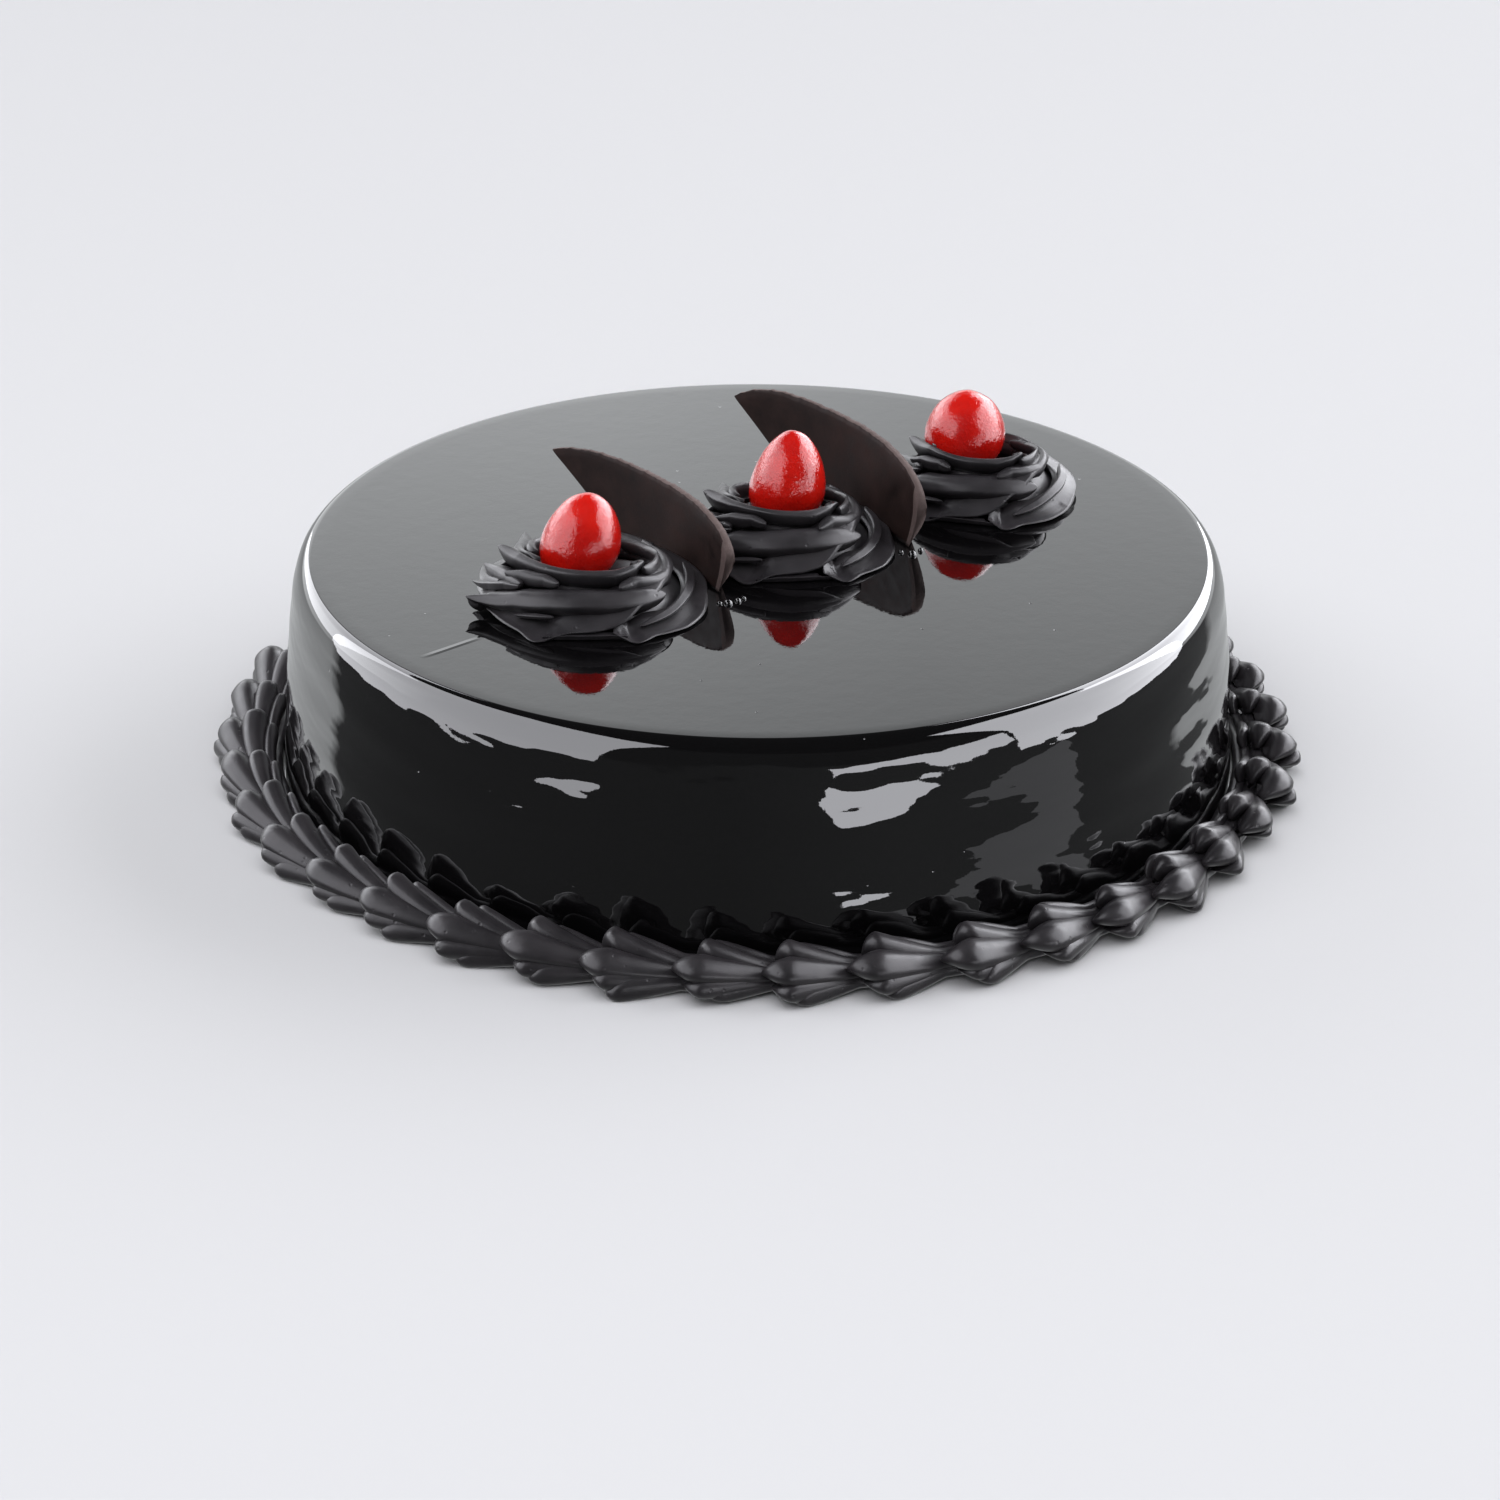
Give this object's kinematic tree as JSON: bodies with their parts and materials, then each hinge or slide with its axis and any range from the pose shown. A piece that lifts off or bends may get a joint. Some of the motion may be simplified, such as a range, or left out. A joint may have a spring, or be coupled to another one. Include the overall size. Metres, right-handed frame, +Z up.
{
  "type": "chocolate truffle cake",
  "caption": "Round truffle cake under a dark mirror glaze, with a piped shell border at its foot, and piped rosettes, candied cherries and chocolate fins on top.",
  "frame": {"origin": "centre of the cake's flat foot, on the resting plane", "axes": "+Z up; the side seen first in the picture faces -Y, and +X is to its right"},
  "size_m": [0.2326, 0.233, 0.0743],
  "materials": {
    "dark_glaze": "near-black mirror glaze, very glossy, with a few tiny bubbles and soft waves on the side",
    "dark_cream": "dark piped cream, satin, with fine grooves, pits and thin glossy crease lines",
    "candied_cherry": "bright red candied fruit skin, wet and glossy, with small dents",
    "dark_chocolate": "dark chocolate plate, low sheen, with scuffs and a lighter chipped edge"
  },
  "bodies": {
    "root": {"cake_body": "dark_glaze", "shell_border": "dark_cream", "rosette_left": "dark_cream", "rosette_middle": "dark_cream", "rosette_right": "dark_cream", "cherry_left": "candied_cherry", "cherry_middle": "candied_cherry", "cherry_right": "candied_cherry", "chocolate_left": "dark_chocolate", "chocolate_right": "dark_chocolate"}
  },
  "joints": []
}
